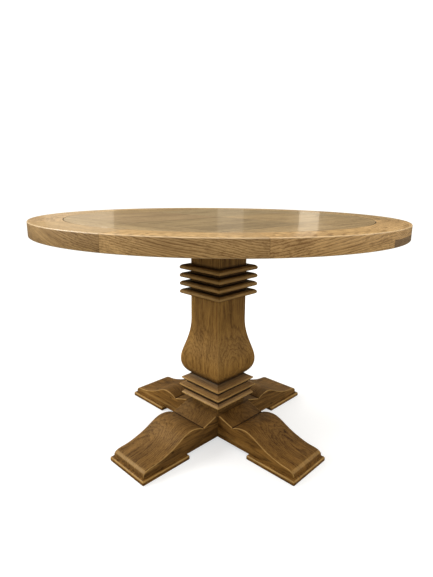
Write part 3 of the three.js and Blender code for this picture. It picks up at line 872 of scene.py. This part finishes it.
def collar_profile(bottom, top):
    """Flat below and above, with a nose that is fullest below its middle."""
    inner, half, nose = SHAFT_HALF + FIT_GAP, COLLAR_HALF, bottom + COLLAR_NOSE
    below = [(half - 6, bottom), (half - 1.5, bottom), (half, nose - 3.5), (half, nose)]
    above = [(half, nose), (half, nose + 4), (half - 5, top), (COLLAR_TOP_HALF, top)]
    outline = [(inner, bottom), below[0]]
    outline += bezier(below, 7)
    outline += bezier(above, 10)
    outline.append((inner, top))
    return outline


# Each base moulding: its edge's half-width, the edge's two levels, and the reach of its flats.
BASE_MOULDINGS = {
    "upper": (94.3, 190.3, 194.5, 79.5, 71),
    "middle": (100.4, 163, 167.5, 86.5, 79.5),
    "lower": (94, 130, 134.5, 92.5, 86.5),
}
# Painted shade on the inner slope of each moulding.
MOULDING_SLOPE_SHADE = {"upper": 0.6, "middle": 0.3, "lower": 0.9}
MOULDING_TONE = (-0.14, -0.07)
MOULDING_RUBBED = 4.0
MOULDING_EASE = 1.5
MOULDING_HOLLOW = (-1, -3)
# Width beyond each moulding's upper flat that is painted black as the quirk's shade.
QUIRK_WIDTHS = {"upper": 1.6, "middle": 1.9, "lower": 0.7}


def moulding_profile(name):
    """A hollow slope down to a thin edge, undercut below it."""
    half, edge_bottom, edge_top, under_half, top_half = BASE_MOULDINGS[name]
    bottom, top = node_low(f"base_moulding_{name}").z, node_high(f"base_moulding_{name}").z
    ease = MOULDING_EASE
    outline = [(SHAFT_HALF + FIT_GAP, bottom), (under_half, bottom)]
    if edge_bottom > bottom:
        outline.append((half - ease - 1.6, edge_bottom - 1.6))
        outline.append((half - ease, edge_bottom))
    outline.append((half - ease / 3, edge_bottom + ease / 3))
    outline += [(half, edge_bottom + ease), (half, edge_top)]
    middle = ((half + top_half) / 2, (edge_top + top) / 2)
    hollow = (middle[0] + MOULDING_HOLLOW[0], middle[1] + MOULDING_HOLLOW[1])
    outline += bezier([(half, edge_top), hollow, (top_half, top)], 16)
    outline.append((SHAFT_HALF + FIT_GAP, top))
    return outline


def add_column_trim():
    """The four collars and the three mouldings at the column's foot."""
    for index in range(4):
        cad = f"column_collar_{index}"
        bottom = node_low(cad).z
        profile = collar_profile(bottom, node_high(cad).z)
        wear_and_light = trim_wear_and_shade(COLLAR_HALF, bottom + 2, COLLAR_RUBBED, COLLAR_TOP_SHADE, 0)
        add_square_frame(cad, profile, COLLAR_TONE, wear_and_light)
    for name, (half, edge_bottom, _, _, top_half) in BASE_MOULDINGS.items():
        quirk_half = top_half + QUIRK_WIDTHS[name]
        wear_and_light = trim_wear_and_shade(half, edge_bottom, MOULDING_RUBBED, MOULDING_SLOPE_SHADE[name], quirk_half)
        profile = moulding_profile(name)
        add_square_frame(f"base_moulding_{name}", profile, MOULDING_TONE, wear_and_light)


# -------- feet

ROD_BORE = 7
NUT_POCKET = 17
NUT_POCKET_DEPTH = 17.2
SOCKET_RADIUS = node_high("glide_insert_0").y + FIT_GAP
SOCKET_TOP = node_high("glide_insert_0").z + 2
GLIDE_REACH = (node_low("foot_pad_0").x + node_high("foot_pad_0").x) / 2
GLIDE_RECESS = node_high("levelling_glide_0").y + 1
GLIDE_RECESS_DEPTH = 2.2
STEM_HOLE = 4.6
FOOT_EASE = 3.0
LAP_EASE_SHARE = 0.12
CREASE_WIDTH = 4.4
SEAM_WIDTH = 2.4
# The upper outline of a foot, as distances from the column's axis and heights.
FOOT_FLAT = 86
CREASE = (150, 79)
CREASE_REACH, CREASE_LEVEL = CREASE
HUMP = (205, 93.5)
SLOPE_END = (312, 52.5)
TOE = (368, 41.5)
FOOT_RAMP = [(FOOT_FLAT, FOOT_TOP), (114, 90), CREASE]
FOOT_RISE = [CREASE, (163, 87), (184, 94), HUMP]
FOOT_SLOPE = [HUMP, (240, 91), (262, 66), SLOPE_END]
FOOT_TOE = [SLOPE_END, (336, 44.5), (352, 42.5), TOE]
FOOT_NOSE = [TOE, (388, 40.5), (FOOT_LENGTH - 1, 36), (FOOT_LENGTH, 25)]
# Wear of a foot: pale at edges; nose and toe paler, rubbed and painted light where they reach out
# from under the top; painted shade darker towards the column.
FOOT_EDGE_WEAR = 0.75
SHOULDER_SEAM_WEAR = -0.8
NOSE_WEAR_AND_LIGHT = 0.5
NOSE_LENGTH = 12
TOE_WEAR_AND_LIGHT = 0.22
TOE_START = 300
TOE_FADE = 40
INNER_SHADE = -0.30
INNER_SHADE_END = 230
INNER_SHADE_FADE = 80


def foot_side():
    """Half of a foot beam's upper outline, from the middle outwards."""
    shoulder = FOOT_HALF_WIDTH + FIT_GAP
    outline = [(0, FOOT_TOP)]
    outline += [(shoulder + step, FOOT_TOP) for step in (0, SEAM_WIDTH, SEAM_WIDTH + 0.6)]
    outline.append((FOOT_FLAT, FOOT_TOP))
    outline += bezier(FOOT_RAMP, 12)[:-1]
    half = CREASE_WIDTH / 2
    for step, rise in ((-half - 1, 0.7), (-half, 0.4), (0, 0), (half, 0.9), (half + 1, 1.5)):
        outline.append((CREASE_REACH + step, CREASE_LEVEL + rise))
    outline += bezier(FOOT_RISE, 16)[1:]
    outline += bezier(FOOT_SLOPE, 20)
    outline += bezier(FOOT_TOE, 12)
    outline += bezier(FOOT_NOSE, 12)
    outline.append((FOOT_LENGTH, FOOT_BOTTOM))
    return outline


def foot_outline(lap_from_above):
    """The whole side view, counter-clockwise, with the notch of the half lap."""
    notch = FOOT_HALF_WIDTH + FIT_GAP
    lap = (FOOT_TOP + FOOT_BOTTOM) / 2
    right = foot_side()[1:]
    upper = list(reversed(right)) + [(-s, z) for s, z in right]
    if lap_from_above:
        middle = len(right)
        return upper[:middle] + [(notch, lap), (-notch, lap)] + upper[middle:]
    return upper + [(-notch, FOOT_BOTTOM), (-notch, lap), (notch, lap), (notch, FOOT_BOTTOM)]


def foot_loops(outline):
    """The side view carried across the beam, with both edges eased away from the lap."""
    half = FOOT_HALF_WIDTH
    count = len(outline)
    shares = []
    for index in range(count):
        here, ahead = outline[index], outline[(index + 1) % count]
        at_lap = abs((here[0] + ahead[0]) / 2) < half + 4
        below = max(here[1], ahead[1]) < FOOT_BOTTOM + NEAR_FACE
        shares.append(LAP_EASE_SHARE if at_lap or below else 1.0)
    levels = eased_levels(FOOT_EASE, 4)
    stations = [(-(half - FOOT_EASE + rise), depth) for depth, rise in reversed(levels)]
    stations += [(half - FOOT_EASE + rise, depth) for depth, rise in levels]
    loops = []
    for y, depth in stations:
        section = inset(outline, [depth * share for share in shares]) if depth else outline
        loops.append([(s, y, z) for s, z in section])
    return loops


def foot_wear_and_light(along, shouldered):
    """Rubbed long edges of a foot beam, nose and toe rubbed and painted light, painted shade in
    its crease and towards the column, and the dark line of its seam.
    """

    def measure(point):
        reach, across = (point.x, point.y) if along == "x" else (point.y, point.x)
        reach, across = abs(reach), abs(across)
        on_top_face = across < FOOT_HALF_WIDTH - NEAR_FACE
        if abs(reach - CREASE_REACH) < CREASE_WIDTH / 2 + NEAR_FACE:
            return PAINTED_BLACK_SHADE if on_top_face and point.z > CREASE_LEVEL - 4 else 0.0
        seam_end = FOOT_HALF_WIDTH + FIT_GAP + SEAM_WIDTH + NEAR_FACE
        beside_seam = FOOT_HALF_WIDTH < reach < seam_end
        if shouldered and beside_seam and point.z > FOOT_TOP - 4:
            return SHOULDER_SEAM_WEAR
        on_ease = on_top_face and across > FOOT_HALF_WIDTH - FOOT_EASE * 0.8
        if on_ease and point.z > FOOT_BOTTOM + 8 and reach > FOOT_HALF_WIDTH + 6:
            return FOOT_EDGE_WEAR
        if reach > FOOT_LENGTH - NOSE_LENGTH and point.z > 30:
            return NOSE_WEAR_AND_LIGHT
        if reach > TOE_START:
            off_edge = across < FOOT_HALF_WIDTH - 4
            return TOE_WEAR_AND_LIGHT * min(1.0, (reach - TOE_START) / TOE_FADE) if off_edge else 0.0
        return INNER_SHADE * min(1.0, max(0.0, (INNER_SHADE_END - reach) / INNER_SHADE_FADE))

    return measure


# Each foot beam: its axis, its turn, whether its lap is cut from above, and its tone.
FOOT_BEAMS = [("x", 0.0, True, (-0.02, 0.0)), ("y", QUARTER, False, (0.03, 0.04))]
FOOT_HEART = 60


def add_feet():
    """Two half-lapped beams, bored for the tie rod and for the glides' inserts."""
    for along, turn, from_above, tone in FOOT_BEAMS:
        cad = f"foot_beam_{along}"
        facing = Matrix.Rotation(turn, 3, "Z")
        outward, sideways = facing @ Vector((1, 0, 0)), facing @ Vector((0, 1, 0))
        board = Board(cad, (0, 0, FOOT_TOP), outward, sideways, tone, FOOT_HEART)
        loops = turned_about(foot_loops(foot_outline(from_above)), turn)
        below = FOOT_BOTTOM - 1
        bores = [((0, 0), ROD_BORE, below, FOOT_TOP + 1)]
        if from_above:
            bores.append(((0, 0), NUT_POCKET, below, FOOT_BOTTOM + NUT_POCKET_DEPTH))
        for reach in (-GLIDE_REACH, GLIDE_REACH):
            place = facing @ Vector((reach, 0, 0))
            bores.append(((place.x, place.y), SOCKET_RADIUS, below, SOCKET_TOP))
        wear_and_light = foot_wear_and_light(along, from_above)
        add_piece(f"oak_{cad}", loops, board, BASE_OAK, [cad], wear_and_light, 22, bores)


PAD_UPPER_EASE = 6.0
PAD_LOWER_EASE = 2.5
PAD_CORNER = 3.0
PAD_TONE = (-0.04, 0.0)
PAD_HEART = 80
PAD_EDGE_WEAR = 0.8
PAD_EDGE_WIDTH = 2.6


def rounded_rectangle(half_x, half_y, radius, steps):
    outline = []
    corners = [(1, 1, 0), (-1, 1, 1), (-1, -1, 2), (1, -1, 3)]
    for sx, sy, quarter in corners:
        centre = (sx * (half_x - radius), sy * (half_y - radius))
        outline += arc(centre, radius, quarter * QUARTER, (quarter + 1) * QUARTER, steps)
    return outline


def pad_wear(centre, half_x, half_y, top):
    """Rubbed upper edges of a pad."""

    def measure(point):
        edge = min(half_x - abs(point.x - centre.x), half_y - abs(point.y - centre.y))
        on_edge = edge < PAD_EDGE_WIDTH and point.z > top - PAD_UPPER_EASE
        return PAD_EDGE_WEAR if on_edge else 0.0

    return measure


def add_pads():
    """A flat pad under each foot's end, recessed for its glide."""
    for side in range(4):
        cad = f"foot_pad_{side}"
        low, high = node_low(cad), node_high(cad)
        centre = (low + high) / 2
        half_x, half_y = (high.x - low.x) / 2, (high.y - low.y) / 2
        outline = rounded_rectangle(half_x, half_y, PAD_CORNER, 4)
        outline = [(x + centre.x, y + centre.y) for x, y in outline]
        levels = [
            (depth, low.z + PAD_LOWER_EASE - rise)
            for depth, rise in reversed(eased_levels(PAD_LOWER_EASE, 5))
        ]
        levels += [
            (depth, high.z - PAD_UPPER_EASE + rise)
            for depth, rise in eased_levels(PAD_UPPER_EASE, 7)
        ]
        loops = [[(x, y, z) for x, y in inset_plan(outline, depth)] for depth, z in levels]
        outward, across = side_frame(side)
        board = Board(cad, centre, outward, across, PAD_TONE, PAD_HEART)
        below = low.z - 1
        bores = [
            ((centre.x, centre.y), GLIDE_RECESS, below, low.z + GLIDE_RECESS_DEPTH),
            ((centre.x, centre.y), STEM_HOLE, below, high.z + 1),
        ]
        wear_and_light = pad_wear(centre, half_x, half_y, high.z)
        add_piece(f"oak_{cad}", loops, board, BASE_OAK, [cad], wear_and_light, bores=bores)


def inset_plan(outline, depth):
    """A plan outline drawn in towards its middle, keeping its corner rounding."""
    xs = [x for x, _ in outline]
    ys = [y for _, y in outline]
    cx, cy = (min(xs) + max(xs)) / 2, (min(ys) + max(ys)) / 2
    half_x, half_y = (max(xs) - min(xs)) / 2, (max(ys) - min(ys)) / 2
    return [
        (cx + (x - cx) * (half_x - depth) / half_x, cy + (y - cy) * (half_y - depth) / half_y)
        for x, y in outline
    ]


# -------- CAD nodes that stay

BEARER_COLOURS = (0.27, 0.17, 0.075), (0.12, 0.066, 0.026)
CORE_COLOURS = (0.50, 0.36, 0.20), (0.34, 0.22, 0.10)
BEARER_EASE = 1.5
# Each inner timber: its material, its colours, the order of its axes, its heart's offset, the
# nodes made of it and how far their edges are eased.
INNER_TIMBERS = [
    ("bearer_x_oak", BEARER_COLOURS, "XYZ", -0.62, ["bearer_x"], BEARER_EASE),
    ("bearer_y_oak", BEARER_COLOURS, "YXZ", -0.61, ["bearer_y"], BEARER_EASE),
    ("core_wood", CORE_COLOURS, "XYZ", -0.60, ["top_core"], 0.0),
    ("plug_wood", CORE_COLOURS, "ZYX", 0.09, ["column_plug_bottom", "column_plug_top"], 0.0),
]


def dress(name, material, bevel=0.0):
    """A material of its own for a CAD node that stays, and eased edges where it shows."""
    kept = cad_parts[name]
    kept.data.materials.clear()
    kept.data.materials.append(material)
    if bevel:
        eased = kept.modifiers.new("eased edges", "BEVEL")
        eased.width = bevel * MM
        eased.segments = 2
        eased.limit_method = "ANGLE"
        eased.angle_limit = math.radians(40)


def dress_kept_nodes():
    """Plain timber for the hidden wooden parts, steel and brass for the hardware."""
    for name, (light, dark), order, rise, nodes, bevel in INNER_TIMBERS:
        source = grain_from_object(order, rise)
        timber = oak(name, light, dark, contrast=0.8, gloss=0.55, coat=0.0, grain_source=source)
        for cad in nodes:
            dress(cad, timber, bevel)
    for name in ("tie_rod", "tie_nut_lower", "tie_nut_upper"):
        dress(name, STEEL)
    for index in range(4):
        dress(f"bearer_screw_{index}", STEEL)
        dress(f"levelling_glide_{index}", STEEL)
        dress(f"glide_insert_{index}", BRASS)


# -------- studio

FLOOR_WHITE = (0.50, 0.50, 0.50)
FLOOR_BOUNCE = (0.13, 0.11, 0.08)
FLOOR_GLOW = 0.60
FLOOR_REACH = 14.0
SKY_LIGHT = (1.10, 1.07, 1.0)
SKY_REFLECTED = (0.20, 0.155, 0.085)
SKY_SEEN = (1.05, 1.05, 1.05)


def add_floor():
    """White to the camera, with soft shadows; much darker in the light that it throws back."""
    mesh = bpy.data.meshes.new("floor")
    signs = [(-1, -1), (1, -1), (1, 1), (-1, 1)]
    corners = [(x * FLOOR_REACH, y * FLOOR_REACH, 0) for x, y in signs]
    mesh.from_pydata(corners, [], [(0, 1, 2, 3)])
    material, tree, shader = new_material("studio_floor")
    seen = node(tree, "LightPath").outputs["Is Camera Ray"]
    tree.links.new(mixed(tree, seen, FLOOR_BOUNCE, FLOOR_WHITE), shader.inputs["Base Color"])
    glow = calc(tree, "MULTIPLY", seen, FLOOR_GLOW)
    tree.links.new(glow, shader.inputs["Emission Strength"])
    shader.inputs["Emission Color"].default_value = (1, 1, 1, 1)
    shader.inputs["Roughness"].default_value = 1.0
    shader.inputs["Specular IOR Level"].default_value = 0.0
    mesh.materials.append(material)
    floor = new_object("studio_floor", mesh)


def add_world():
    """White for the camera and for soft light, dimmer and warmer in reflections."""
    world = bpy.data.worlds.new("studio")
    bpy.context.scene.world = world
    world.use_nodes = True
    tree = world.node_tree
    background = tree.nodes["Background"]
    path = node(tree, "LightPath")
    light = mixed(tree, path.outputs["Is Glossy Ray"], SKY_LIGHT, SKY_REFLECTED)
    light = mixed(tree, path.outputs["Is Camera Ray"], light, SKY_SEEN)
    tree.links.new(light, background.inputs["Color"])


CAMERA_AZIMUTH = 43.885
CAMERA_DISTANCE = 1.46805
CAMERA_HEIGHT = 0.88208
CAMERA_PITCH = 13.488
CAMERA_YAW = -0.276
CAMERA_ROLL = 0.546
CAMERA_LENS = 26.706
CAMERA_SENSOR = 36.0

# Soft boxes: azimuth from the camera's, elevation, distance, side length and power.
SOFT_BOXES = [
    ("key", -90, 32, 3.2, 1.6, 74),
    ("fill", 84, 22, 3.2, 1.6, 12),
    ("overhead", 0, 84, 2.6, 2.4, 33),
]
SOFT_BOX_TARGET = Vector((0, 0, 0.45))
# Tall boxes behind the table: bearing from the camera's axis, width in metres, and power.
BACK_BOXES = [
    ("back_box_left", -18.0, 0.75, 2.2),
    ("back_box_middle", 1.5, 0.30, 0.45),
    ("back_box_right", 11.7, 0.22, 1.2),
]
BACK_DISTANCE = 5.0
BACK_HEIGHT = 1.8
BACK_TINT = (1.0, 0.88, 0.70)


def add_area(name, place, away, size, power, tint=(1, 1, 1)):
    """A soft box that faces back along a direction, seen by no camera."""
    data = bpy.data.lights.new(name, "AREA")
    data.shape = "RECTANGLE"
    data.size, data.size_y = size
    data.energy = power
    data.color = tint
    box = new_object(name, data)
    box.location = place
    box.rotation_mode = "QUATERNION"
    box.rotation_quaternion = (-away).to_track_quat("-Z", "Y")
    box.visible_camera = False


def add_lights():
    """A soft key at the left, and tall boxes behind the table that show as streaks in its top."""
    for name, azimuth, elevation, distance, side, power in SOFT_BOXES:
        a, e = math.radians(CAMERA_AZIMUTH + azimuth), math.radians(elevation)
        away = Vector((math.sin(a) * math.cos(e), -math.cos(a) * math.cos(e), math.sin(e)))
        add_area(name, SOFT_BOX_TARGET + away * distance, away, (side, side), power)
    heading = math.radians(CAMERA_AZIMUTH)
    camera_place = Vector((math.sin(heading), -math.cos(heading), 0)) * CAMERA_DISTANCE
    ahead = Vector((-math.sin(heading), math.cos(heading), 0))
    middle = Vector((0, 0, TOP_LEVEL * MM + BACK_HEIGHT / 2))
    for name, bearing, width, power in BACK_BOXES:
        away = Matrix.Rotation(-math.radians(bearing), 3, "Z") @ ahead
        place = camera_place + away * BACK_DISTANCE + middle
        add_area(name, place, away, (width, BACK_HEIGHT), power, BACK_TINT)


def add_camera():
    """In front of the table, a little above its top."""
    data = bpy.data.cameras.new("camera")
    data.lens = CAMERA_LENS
    data.sensor_width = CAMERA_SENSOR
    data.sensor_fit = "AUTO"
    camera = new_object("camera", data)
    azimuth, pitch = math.radians(CAMERA_AZIMUTH), math.radians(CAMERA_PITCH)
    yaw, roll = math.radians(CAMERA_YAW), math.radians(CAMERA_ROLL)
    place = Vector((math.sin(azimuth), -math.cos(azimuth), 0)) * CAMERA_DISTANCE
    heading = Vector((-math.sin(azimuth), math.cos(azimuth), 0))
    heading = Matrix.Rotation(-yaw, 3, "Z") @ heading
    right = heading.cross(Vector((0, 0, 1)))
    forward = heading * math.cos(pitch) + Vector((0, 0, -math.sin(pitch)))
    up = right.cross(forward)
    rolled_right = right * math.cos(roll) + up * math.sin(roll)
    rolled_up = up * math.cos(roll) - right * math.sin(roll)
    turn = Matrix((rolled_right, rolled_up, -forward)).transposed().to_4x4()
    camera.matrix_world = Matrix.Translation(place + Vector((0, 0, CAMERA_HEIGHT))) @ turn
    bpy.context.scene.camera = camera


# -------- the scene

add_camera()
add_floor()
add_world()
add_lights()
add_ring()
add_panel()
add_staves()
add_column_trim()
add_feet()
add_pads()
dress_kept_nodes()
bpy.context.scene.view_settings.view_transform = "Standard"
